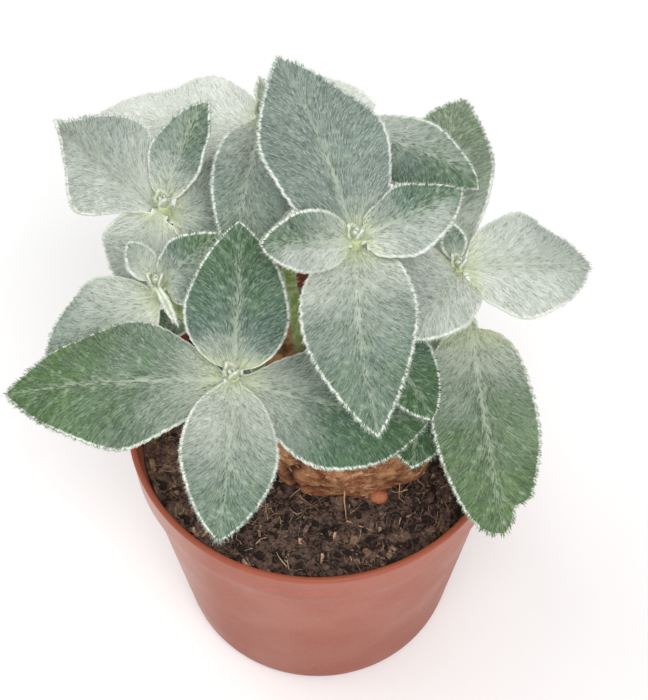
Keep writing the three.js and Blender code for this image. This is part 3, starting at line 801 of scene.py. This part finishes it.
    def depth(self, across):
        """Half of the blade's thickness, less what hides a hair's root."""
        return self.thickness(across) / 2 - 0.1

    def combed(self, place, long, spread):
        """Headings of combed hairs at the places that surface gives, and lengths that end at the margin."""
        _, forward, outward, _, sideways, reach = place
        angle = self.comb_angle(sideways) + rng.normal(0, spread, len(sideways))
        heading = turned(forward, outward, angle)
        rim = reach - sideways
        room = np.where(rim < 1, rim + 0.3, rim - 0.5) / np.maximum(0.3, np.sin(angle))
        return heading, np.minimum(long * rng.uniform(0.7, 1.2, len(sideways)), room)

    def add_hairs(self, shape, fur=1.0, hair_length=None):
        long = hair_length or (1.7 if self.length > 34 else 1.4)
        self.add_top_hairs(shape, fur, long)
        self.add_under_hairs(shape, fur, long)
        self.add_fringe(shape, fur, long)

    def add_top_hairs(self, shape, fur, long):
        """Silky hairs combed outwards, in locks of a few that lie close together."""
        distance, across = self.places(int(self.area() * TOP_CLUMPS * fur))
        bare = self.vein(distance, self.half_width(distance, np.sign(across)) * np.abs(across))
        keep = rng.uniform(0, 1, len(distance)) > 0.6 * bare
        distance, across = distance[keep], across[keep]
        lock = self.surface(distance, across)
        centre, _, _, facing, sideways, margin = lock
        heading, reach = self.combed(lock, long, 0.13)
        tints = self.tints(distance, across, centre)
        crease = np.exp(-(((sideways - 1.3) / 0.8) ** 2)) * (1 - 0.5 * self.share(distance))
        calm = 1 - 0.6 * tints["white"]
        shaded = rng.uniform(0, 1, len(distance)) < 0.27 + 0.15 * noise(centre, 2.5, 12) + 0.2 * crease
        tone = 0.44 + calm * (0.09 * rng.normal(0, 1, len(distance)) - 0.38 * shaded)
        tone = np.minimum(tone - 0.3 * tints["green"], 0.55) + 0.3 * fade(0.5, 1.1, margin - sideways)
        which = np.repeat(np.arange(len(distance)), HAIRS_PER_CLUMP)
        along, aside = rng.normal(0, 0.35, len(which)), rng.normal(0, 0.08, len(which))
        spot = centre[which] + heading[which] * column(along)
        spot = spot + np.cross(heading, facing)[which] * column(aside)
        high = self.relief(centre, distance, sideways) + self.depth(across)
        root = spot + facing[which] * column(high[which])
        tip = root + heading[which] * column(reach[which] * rng.uniform(0.75, 1.1, len(which)))
        meet = centre + heading * column(reach) + facing * column(self.depth(across))
        tip = tip * 0.8 + meet[which] * 0.2 + facing[which] * column(rng.uniform(0.05, 0.3, len(which)))
        tones = np.clip(tone[which] + rng.normal(0, 0.06, len(which)), 0, 1)
        width = rng.uniform(0.1, 0.17, len(which)) * HAIR_WIDENING
        tints = {key: value[which] for key, value in tints.items()}
        add_hairs(shape, root, tip, facing[which], width, 0.08, tone=tones, **tints)

    def add_under_hairs(self, shape, fur, long):
        distance, across = self.places(int(self.area() * UNDER_HAIRS * fur))
        place = self.surface(distance, across)
        centre, _, _, facing, sideways, _ = place
        count = len(centre)
        heading, reach = self.combed(place, long, 0.3)
        root = centre + facing * column(self.relief(centre, distance, sideways) - self.depth(across))
        tip = root + heading * column(reach) - facing * column(rng.uniform(0.1, 0.6, count))
        width = rng.uniform(0.12, 0.2, count)
        tints = self.tints(distance, across, root)
        add_hairs(shape, root, tip, -facing, width, 0.1, tone=rng.uniform(0.3, 0.8, count), **tints)

    def add_fringe(self, shape, fur, long):
        """The white rim: short hairs packed along the margin, and a few longer ones that slant to the tip."""
        pairs = int(self.total * FRINGE_HAIRS * fur)
        count = 2 * pairs
        distance = np.repeat(rng.uniform(0.04, 1, pairs) * self.total, 2)
        across = np.tile([-1.0, 1.0], pairs)
        root, forward, outward, facing, sideways, _ = self.surface(distance, across)
        root = root + facing * column(self.relief(root, distance, sideways) + rng.uniform(-0.3, 0.35, count))
        stray = rng.uniform(0, 1, count) > 0.93
        lean = np.radians(rng.normal(45, 12, count)) + 0.7 * smooth_step(0.9, 1, self.share(distance))
        heading = turned(outward, forward, lean)
        heading = unit(heading + facing * column(rng.normal(0, 0.2, count)))
        reach = long * np.where(stray, rng.uniform(0.45, 0.8, count), rng.uniform(0.17, 0.33, count))
        width = rng.uniform(0.08, 0.13, count) * HAIR_WIDENING
        tints = self.tints(distance, across, root)
        tone = rng.uniform(0.7, 0.95, count) - 0.15 * tints["green"]
        tip = root + heading * column(reach)
        add_hairs(shape, root - outward * 0.3, tip, facing, width, 0.03, tone=tone, **tints)


def make_leaves():
    for name, values in LEAVES.items():
        looks = LOOKS.get(name, YOUNG_LEAF if name in YOUNG else OLD_LEAF)
        felted = Leaf(name.split("_")[1], looks, **values)
        shape = Shape()
        felted.add_blade(shape)
        felted.add_hairs(shape)
        shape.piece(name + "_felted", [LEAF, HAIR], [name])


def stem_frame(curve, t):
    centre = on_curve(curve, t)
    ahead = unit(on_curve(curve, np.minimum(1, t + 1e-3)) - on_curve(curve, np.maximum(0, t - 1e-3)))
    across = unit(np.cross(ahead, np.array([0.31, 0.95, 0.05])))
    return centre, ahead, across, np.cross(ahead, across)


def add_stem(shape, letter, seed):
    """A hairy round stem, a little swollen where leaves have grown, with its young top paler."""
    curve = stem_curve(letter)
    rows, sides = 56, 18
    t = np.linspace(0, 1, rows)
    centre, _, across, over = stem_frame(curve, t)
    turn = circle(sides)
    swell = STEM_RADIUS * (1 + 0.1 * np.sin(t * 21 + seed) ** 8 - 0.12 * t)
    ring = column(np.cos(turn)) * across[:, None] + column(np.sin(turn)) * over[:, None]
    points = (centre[:, None] + ring * swell[:, None, None]).reshape(-1, 3)
    points = points + 0.12 * column(noise(points, 1.7, seed)) * ring.reshape(-1, 3)
    foot = np.repeat(fade(0.02, 0.16, t), sides)
    top = np.repeat(smooth_step(0.86, 0.98, t), sides)
    shape.add_rings(points, rows, sides, foot=foot, top=top)
    length = np.linalg.norm(np.diff(on_curve(curve, t), axis=0), axis=1).sum()
    count = int(2 * math.pi * STEM_RADIUS * length * STEM_HAIRS)
    t = rng.uniform(0.03, 1, count)
    centre, ahead, across, over = stem_frame(curve, t)
    out = turned(across, over, rng.uniform(0, 2 * math.pi, count))
    root = centre + out * (STEM_RADIUS * 0.9)
    heading = unit(out + ahead * column(rng.normal(0.25, 0.4, count)))
    tip = root + heading * column(rng.uniform(0.7, 1.7, count))
    tone = rng.uniform(0.3, 0.9, count)
    width = rng.uniform(0.1, 0.17, count)
    add_hairs(shape, root, tip, ahead, width, 0.05, tone=tone, pale=0.4 * tone, young=tone)


def add_bud(shape, letter):
    """The tip of a shoot: two pairs of tiny leaves that still stand upright, all hair."""
    first = LEAVES[f"leaf_{letter}_up"]["turn"] + 45
    for i, (length, out, turn, rise) in enumerate(BUD_LEAVES):
        tiny = Leaf(
            letter, BUD, out, level=-0.6 + i * 0.3, turn=first + turn, rise=rise, droop=-18, fold=24,
            length=length, width=length * 0.9, broad=0.8, full=0.8, thick=0.8,
        )
        tiny.add_blade(shape)
        tiny.add_hairs(shape, 2, 0.9)


def make_stems():
    for seed, letter in enumerate(SHOOTS):
        stem = Shape()
        add_stem(stem, letter, seed)
        stem.piece(f"stem_{letter}_haired", [STEM, HAIR], ["stem_" + letter])
        bud = Shape()
        add_bud(bud, letter)
        bud.piece(f"bud_{letter}", [LEAF, HAIR])


# The pot


def wall_inside_at(height):
    return np.interp(height, (INNER_FOOT, COLLAR_FOOT), INNER_RADII)


def make_pot():
    base = ((6, 0.9), (4.6, 0), (3, 0), (1.6, 0.35), (0.7, 1.2), (0.35, 2.4), (0.1, 3.6), (-0.15, 5.2))
    outer = [(BASE_RADIUS - inset, height) for inset, height in base]
    for share in np.linspace(0.06, 1, 12):
        outer.append((BASE_RADIUS + share * (RIM_RADIUS - 2.6 - BASE_RADIUS), 4 + share * (COLLAR_FOOT - 5)))
    for inset, rise in ((2.2, -0.6), (1.2, -0.2), (0.9, 0.5)):
        outer.append((RIM_RADIUS - inset, COLLAR_FOOT + rise))
    for share in (0.15, 0.5, 0.85):
        outer.append((RIM_RADIUS - 0.9 + share * 0.75, COLLAR_FOOT + share * (COLLAR_HEIGHT - 1.6)))
    edge = (
        (0.1, 2.1), (0, 1.5), (0, 0.8), (0.2, 0.3), (0.6, 0), (1.5, 0), (1.9, 0.25), (LIP_WIDTH + 0.1, 0.8),
    )
    lip = [(RIM_RADIUS - inset, POT_HEIGHT - drop) for inset, drop in edge]
    inner = [(RIM_RADIUS - 3, POT_HEIGHT - 5), (INNER_RADII[1], COLLAR_FOOT)]
    for share in np.linspace(0.1, 1, 8):
        height = COLLAR_FOOT - share * (COLLAR_FOOT - INNER_FOOT)
        inner.append((wall_inside_at(height), height))
    inner += [(BASE_RADIUS - 2.6, 3), (BASE_RADIUS - 3.5, FLOOR_THICKNESS)]
    profile = np.array([(0, 0.9), (DRAIN_CIRCLE, 0.9), *outer, *lip, *inner, (0, FLOOR_THICKNESS)], float)
    lip_from, lip_to = 2 + len(outer), 2 + len(outer) + len(lip)
    body = profile[1:-1]
    turn = np.tile(circle(POT_SIDES), len(body))
    radius, height = np.repeat(body, POT_SIDES, axis=0).T
    points = np.stack([radius * np.cos(turn), radius * np.sin(turn), height], 1)
    number = np.repeat(np.arange(len(body)), POT_SIDES)
    # painted shade on the lip's faces
    shaded_lip = ((number >= lip_from + 2) & (number < lip_to - 1)).astype(float)
    # painted light on the inside faces
    inside = (number >= lip_to - 1).astype(float)
    low = fade(0, 30, points[:, 2])
    left = smooth_step(-0.2, 1, -points[:, 0] / 55)
    # partly dust, partly a painted sheen: paler on the left side, and a little on the right
    haze = 0.42 * smooth_step(0.55, 1, -points[:, 0] / 52) + 0.12 * smooth_step(0.5, 1, points[:, 0] / 55)
    shape = Shape()
    shape.add_rings(
        points, len(body), POT_SIDES, smooth=(False, False), lip=shaded_lip, inside=inside,
        soiled=np.clip(0.25 + 0.6 * left * (0.4 + low), 0, 1) * (1 - inside),
        haze=haze * (1 - shaded_lip) * (1 - inside),
    )
    pot = shape.piece("pot_turned", [POT], ["pot"])
    for i in range(DRAIN_HOLES):
        angle = 2 * math.pi * i / DRAIN_HOLES
        bpy.ops.mesh.primitive_cylinder_add(
            vertices=32, radius=DRAIN_RADIUS * MM, depth=0.008,
            location=(DRAIN_CIRCLE * MM * math.cos(angle), DRAIN_CIRCLE * MM * math.sin(angle), 0.002),
        )
        cutter = bpy.context.object
        cut = pot.modifiers.new("drain", "BOOLEAN")
        cut.object = cutter
        cut.solver = "EXACT"
        bpy.context.view_layer.objects.active = pot
        bpy.ops.object.modifier_apply(modifier=cut.name)
        bpy.data.objects.remove(cutter)


# The soil


def soil_bump(x, y):
    waves = (
        np.sin(0.33 * x + 0.8) * np.cos(0.29 * y)
        + 0.7 * np.sin(0.47 * x + 0.41 * y + 2.1)
        + 0.5 * np.cos(0.62 * y - 0.35 * x + 0.5)
    )
    return SOIL_ROUGHNESS * waves / 2 - SOIL_SLOPE * y


def soil_top(x, y):
    flat = np.stack([x, y, np.zeros_like(x)], 1)
    clods = 1.1 * rough(flat, 6, 3, 21) + 0.7 * np.abs(noise(flat, 2.4, 25)) + 0.3 * noise(flat, 1.0, 26)
    return SOIL_HEIGHT + soil_bump(x, y) + clods


def on_soil(count, spread=54.5):
    """Random places on the soil that the tuber leaves free."""
    radius = spread * np.sqrt(rng.uniform(0, 1, 3 * count))
    turn = rng.uniform(0, 2 * math.pi, 3 * count)
    x, y = radius * np.cos(turn), radius * np.sin(turn)
    free = ((x - TUBER_CENTRE[0]) / 28) ** 2 + ((y - TUBER_CENTRE[1]) / 27) ** 2 > 1
    return x[free][:count], y[free][:count]


def make_soil():
    rings, sides = 84, 260
    radius = np.linspace(0.6, SOIL_EDGE, rings)
    turn = circle(sides)
    x = (radius[:, None] * np.cos(turn)).ravel()
    y = (radius[:, None] * np.sin(turn)).ravel()
    top = np.stack([x, y, soil_top(x, y)], 1)
    below = [(wall_inside_at(z) - SOIL_GAP, z) for z in (80, 50)]
    below += [(44, 6), (42.7, FLOOR_THICKNESS + SOIL_GAP)]
    skirt = [[(r * math.cos(angle), r * math.sin(angle), z) for angle in turn] for r, z in below]
    points = np.concatenate([top, np.array(skirt).reshape(-1, 3)])
    tone = 0.24 + 0.26 * noise(points, 2.8, 31) + 0.18 * noise(points, 1.0, 32)
    # painted light: the peat is painted lighter towards the left, lifting it out of the leaves' shade there
    tone = tone + 0.14 * smooth_step(15, 45, -points[:, 0])
    shape = Shape()
    shape.add_rings(points, rings + len(below), sides, True, (True, False), tone=np.clip(tone, 0, 1))
    shape.piece("peat_fill", [SOIL], ["soil"])

    crumbs = Shape()
    add_crumbs(crumbs, 2600)
    add_chips(crumbs, 160)
    add_fibres(crumbs, 1100)
    crumbs.piece("peat_crumbs", [SOIL])


GOLDEN = (1 + math.sqrt(5)) / 2
ICOSA = unit(
    np.array([
        [-1, GOLDEN, 0], [1, GOLDEN, 0], [-1, -GOLDEN, 0], [1, -GOLDEN, 0],
        [0, -1, GOLDEN], [0, 1, GOLDEN], [0, -1, -GOLDEN], [0, 1, -GOLDEN],
        [GOLDEN, 0, -1], [GOLDEN, 0, 1], [-GOLDEN, 0, -1], [-GOLDEN, 0, 1],
    ])
)
ICOSA_FACES = [
    [0, 11, 5], [0, 5, 1], [0, 1, 7], [0, 7, 10], [0, 10, 11], [1, 5, 9], [5, 11, 4], [11, 10, 2], [10, 7, 6],
    [7, 1, 8], [3, 9, 4], [3, 4, 2], [3, 2, 6], [3, 6, 8], [3, 8, 9], [4, 9, 5], [2, 4, 11], [6, 2, 10],
    [8, 6, 7], [9, 8, 1],
]


def random_turns(count):
    """Random rotation matrices."""
    first = unit(rng.normal(size=(count, 3)))
    second = unit(np.cross(first, rng.normal(size=(count, 3))))
    return np.stack([first, second, np.cross(first, second)], 1)


def add_crumbs(shape, count):
    x, y = on_soil(count)
    size = 0.35 + 1.3 * rng.uniform(0, 1, len(x)) ** 3
    lumps = ICOSA[None] * rng.uniform(0.65, 1.3, (len(x), 12, 1))
    lumps = lumps * rng.uniform(0.6, 1.3, (len(x), 1, 3)) * size[:, None, None]
    lumps = np.einsum("nij,njk->nik", lumps, random_turns(len(x)))
    centre = np.stack([x, y, soil_top(x, y) + 0.25 * size], 1)
    points = (centre[:, None] + lumps).reshape(-1, 3)
    faces = repeated(ICOSA_FACES, 12, len(x))
    # painted light: lighter towards the left, as on the peat below
    tone = np.clip(rng.normal(0.27, 0.19, len(x)) + 0.12 * smooth_step(15, 45, -x), 0.02, 0.75)
    shape.add(points, faces, 0, False, tone=np.repeat(tone, 12))


def add_slivers(shape, centre, sizes, ahead, side, **values):
    """Uneven little blocks, each along its own ahead and side."""
    corners = np.array([[i, j, k] for i in (-1, 1) for j in (-1, 1) for k in (-1, 1)], float)
    blocks = corners[None] * sizes[:, None] * rng.uniform(0.6, 1.1, (len(centre), 8, 3))
    up = np.cross(ahead, side)
    blocks = np.einsum("nij,njk->nik", blocks, np.stack([ahead, side, up], 1))
    quads = [[0, 1, 3, 2], [4, 6, 7, 5], [0, 4, 5, 1], [2, 3, 7, 6], [0, 2, 6, 4], [1, 5, 7, 3]]
    faces = repeated(quads, 8, len(centre))
    values = {key: np.repeat(value, 8) for key, value in values.items()}
    shape.add((centre[:, None] + blocks).reshape(-1, 3), faces, 0, False, **values)


def add_chips(shape, count):
    """Slivers of bark and wood lying about."""
    x, y = on_soil(count)
    long = rng.uniform(1.2, 4.2, len(x))
    sizes = np.stack([long, long * rng.uniform(0.25, 0.5, len(x)), rng.uniform(0.3, 0.7, len(x))], 1) / 2
    turn = rng.uniform(0, 2 * math.pi, len(x))
    lean = rng.normal(0, 0.3, len(x))
    ahead = direction(turn, lean)
    centre = np.stack([x, y, soil_top(x, y) + 0.3], 1)
    tone = either(len(x), 0.7, (0.2, 0.5), (0.6, 0.9))
    add_slivers(shape, centre, sizes, ahead, unit(np.cross(UP[None], ahead)), tone=tone)


def add_fibres(shape, count):
    """Fine roots and fibres of the peat, most of them dull and some pale."""
    x, y = on_soil(count, 53)
    long = rng.uniform(1.5, 7, len(x))
    turn = rng.uniform(0, 2 * math.pi, len(x))
    bend = rng.normal(0, 0.8, len(x))
    rows = []
    for share in (0, 0.33, 0.66, 1):
        angle = turn + bend * share
        x_at = x + long * share * np.cos(angle)
        y_at = y + long * share * np.sin(angle)
        away = np.maximum(1, np.hypot(x_at, y_at) / 55)
        x_at, y_at = x_at / away, y_at / away
        lift = 0.5 + 0.6 * math.sin(math.pi * share) * rng.uniform(0, 1, len(x))
        rows.append((np.stack([x_at, y_at, soil_top(x_at, y_at) + lift], 1), angle))
    width = rng.uniform(0.1, 0.26, len(x)) / 2
    points = []
    for centre, angle in rows:
        side = np.stack([-np.sin(angle), np.cos(angle), rng.normal(0, 0.5, len(x))], 1)
        points += [centre - side * column(width), centre + side * column(width)]
    points = np.stack(points, 1).reshape(-1, 3)
    faces = repeated([[0, 1, 3, 2], [2, 3, 5, 4], [4, 5, 7, 6]], 8, len(x))
    tone = either(len(x), 0.6, (0.3, 0.5), (0.55, 0.95))
    shape.add(points, faces, 0, True, tone=np.repeat(tone, 8))


# The tuber


def unit_ball(rings, sides, pole):
    """Rings of points of a ball, from pole radians off its lowest point to as far off its top."""
    tilt = np.repeat(np.linspace(pole - math.pi / 2, math.pi / 2 - pole, rings), sides)
    return direction(np.tile(circle(sides), rings), tilt)


def tuber_lumps(x, y, z):
    return (
        np.sin(0.19 * x + 1.3) * np.cos(0.16 * y + 0.4)
        + 0.6 * np.sin(0.31 * y - 0.22 * z + 2)
        + 0.5 * np.cos(0.37 * x + 0.29 * z)
    )


def tuber_surface(ball):
    """Points of the bark for points of a unit ball, with how deep in a fold each lies, which sets its painted
    shade, and how red it is.
    """
    flat = ball * TUBER_RADII
    grown = flat * column(1 + TUBER_LUMPS * tuber_lumps(*flat.T)) + TUBER_CENTRE
    wander = 1.6 * noise(grown, 9, 41)
    ledge = grown[:, 2] - 93.5 - wander - 0.05 * grown[:, 0]
    crease = np.exp(-((ledge / 0.8) ** 2))
    wrinkle = noise(grown * np.array([0.45, 0.45, 1.6]), 2.6, 43)
    crack = np.exp(-((noise(grown * np.array([0.7, 0.7, 1.2]), 5, 47) / 0.07) ** 2))
    flake = np.abs(noise(grown * np.array([0.8, 0.8, 1.3]), 1.8, 49))
    out = 0.6 * rough(grown, 7, 3, 44) + 0.4 * wrinkle - 0.8 * crease - 0.45 * crack + 0.35 * flake
    out = out + 0.8 * fade(-2.5, 0.2, ledge) + 0.22 * noise(grown, 0.9, 48)
    around = np.arctan2(ball[:, 1], ball[:, 0]) - CLEFT_ANGLE + 0.06 * noise(grown, 4, 50)
    cleft = np.exp(-((around / 0.06) ** 2)) * fade(0.1, 0.4, ball[:, 2])
    out = out - 2.4 * cleft
    low = fade(90, 95, grown[:, 2])
    # painted shade: darker in the cleft, the creases, the cracks and the low places of the bark
    fold = np.clip(cleft + 0.75 * crease + 0.6 * crack - 0.2 * wrinkle + 0.35 * (0.25 - flake), 0, 1)
    return grown + unit(ball / TUBER_RADII) * column(out), fold, 0.35 * low


def add_tube(shape, path, radii, **values):
    """A thin root along a path."""
    sides = 6
    path = np.asarray(path, float)
    ahead = unit(np.gradient(path, axis=0))
    side = unit(np.cross(ahead, np.array([0.2, 0.1, 0.97])))
    over = np.cross(ahead, side)
    turn = circle(sides)
    ring = column(np.cos(turn)) * side[:, None] + column(np.sin(turn)) * over[:, None]
    points = path[:, None] + ring * np.asarray(radii)[:, None, None]
    shape.add_rings(points.reshape(-1, 3), len(path), sides, **values)


def make_tuber():
    rings, sides = 100, 200
    points, fold, red = tuber_surface(unit_ball(rings, sides, 0.03))
    shape = Shape()
    shape.add_rings(points, rings, sides, fold=fold, red=red)
    shape.piece("tuber_bark", [BARK], ["tuber"])

    roots = Shape()
    add_knob(roots)
    add_flakes(roots, 420)
    for path, thick in ROOTS:
        path = np.array(path, float)
        fine = np.linspace(0, len(path) - 1, 5 * len(path))
        line = np.stack([np.interp(fine, np.arange(len(path)), path[:, i]) for i in range(3)], 1)
        line = line + 0.15 * np.stack([noise(line, 1.1, 60 + i) for i in range(3)], 1)
        radii = thick * np.linspace(1, 0.35, len(line))
        add_tube(roots, line, radii, red=0.15, fold=0.0, peel=0.8)
    roots.piece("roots", [BARK])


# The fine roots in front of the tuber: points and radius
ROOTS = [
    ([(8.6, -24.5, 95), (8.4, -27.2, 93.5), (8.5, -29.5, 91.2), (8.9, -32, 90.6), (9.2, -34.5, 90.4)], 0.32),
    ([(9.2, -34, 90.8), (11.5, -35.2, 90.9), (14, -36.2, 90.8), (17, -37.6, 90.6)], 0.22),
    ([(25.4, -20.5, 95), (25.6, -23.6, 93), (25.5, -26.5, 91)], 0.24),
    ([(30.5, -17.5, 94.5), (31.5, -20.5, 92.4), (33.8, -22.4, 91.4)], 0.2),
    ([(-3.6, -21, 93.5), (-5.8, -23.5, 91.5), (-8.6, -25.6, 90.8)], 0.18),
]


def add_flakes(shape, count):
    """Scales of bark that lift a little off the tuber's sides."""
    turn = rng.uniform(0, 2 * math.pi, count)
    ball = direction(turn, rng.uniform(-0.42, 0.75, count))
    spot, _, red = tuber_surface(ball)
    out = unit(ball / TUBER_RADII)
    round_it = unit(np.cross(UP[None], out))
    ahead = turned(round_it, np.cross(out, round_it), rng.normal(0, 0.35, count))
    side = unit(np.cross(out, ahead) + out * column(rng.uniform(-0.3, 0.15, count)))
    long = rng.uniform(1.2, 4.5, count)
    sizes = np.stack([long, rng.uniform(0.5, 1.5, count), rng.uniform(0.15, 0.35, count)], 1) / 2
    bright = rng.uniform(0, 1, count)
    add_slivers(shape, spot + out * 0.12, sizes, ahead, side, red=red, fold=0.5 * (bright < 0.3), peel=bright)


def add_knob(shape):
    """The small reddish swelling low on the tuber's front."""
    rings, sides = 12, 16
    points = unit_ball(rings, sides, 0.1) * KNOB_RADII
    points = points * column(1 + 0.25 * noise(points, 1.8, 70)) + KNOB_CENTRE
    shape.add_rings(points, rings, sides, red=0.4, fold=0.2)


# The studio


def make_studio():
    bpy.ops.mesh.primitive_plane_add(size=6, location=(0, 0, 0))
    floor = bpy.context.object
    floor.name = "floor"
    paint = Paint("pale_floor", rough=0.9, Specular_IOR_Level=0.1)
    paint.colour = paint.mix(paint.noise(40, 2), (0.97,) * 3, (0.985,) * 3)
    floor.data.materials.append(paint.finish())
    world = bpy.data.worlds.new("soft_sky")
    bpy.context.scene.world = world
    world.use_nodes = True
    sky = world.node_tree.nodes["Background"]
    sky.inputs["Color"].default_value = (1, 1, 1, 1)
    sky.inputs["Strength"].default_value = SKY_STRENGTH
    for place, size, power in SOFTBOXES:
        light = bpy.data.lights.new("softbox", "AREA")
        light.size = size
        light.energy = power
        lamp = bpy.data.objects.new("softbox", light)
        bpy.context.scene.collection.objects.link(lamp)
        lamp.location = place
        x, y, z = LIT_POINT - place
        lamp.rotation_euler = (math.atan2(math.hypot(x, y), -z), 0, math.atan2(-x, y))


def make_camera():
    """The photograph's view, from in front and high."""
    elevation = math.radians(CAMERA_ELEVATION)
    up = np.array([0, math.sin(elevation), math.cos(elevation)])
    back = np.array([0, -math.cos(elevation), math.sin(elevation)])
    place = np.array([CAMERA_RIGHT, 0, POT_HEIGHT]) + CAMERA_UP * up + CAMERA_AWAY * back
    data = bpy.data.cameras.new("camera")
    data.sensor_width = SENSOR_WIDTH
    data.lens = CAMERA_FOCUS * SENSOR_WIDTH / PHOTO_HEIGHT
    data.clip_start, data.clip_end = 0.01, 20
    camera = bpy.data.objects.new("camera", data)
    camera.location = place * MM
    camera.rotation_euler = (math.pi / 2 - elevation, 0, 0)
    bpy.context.scene.collection.objects.link(camera)
    bpy.context.scene.camera = camera


make_camera()
make_studio()
make_pot()
make_soil()
make_tuber()
make_stems()
make_leaves()

bpy.context.scene.view_settings.view_transform = "Standard"
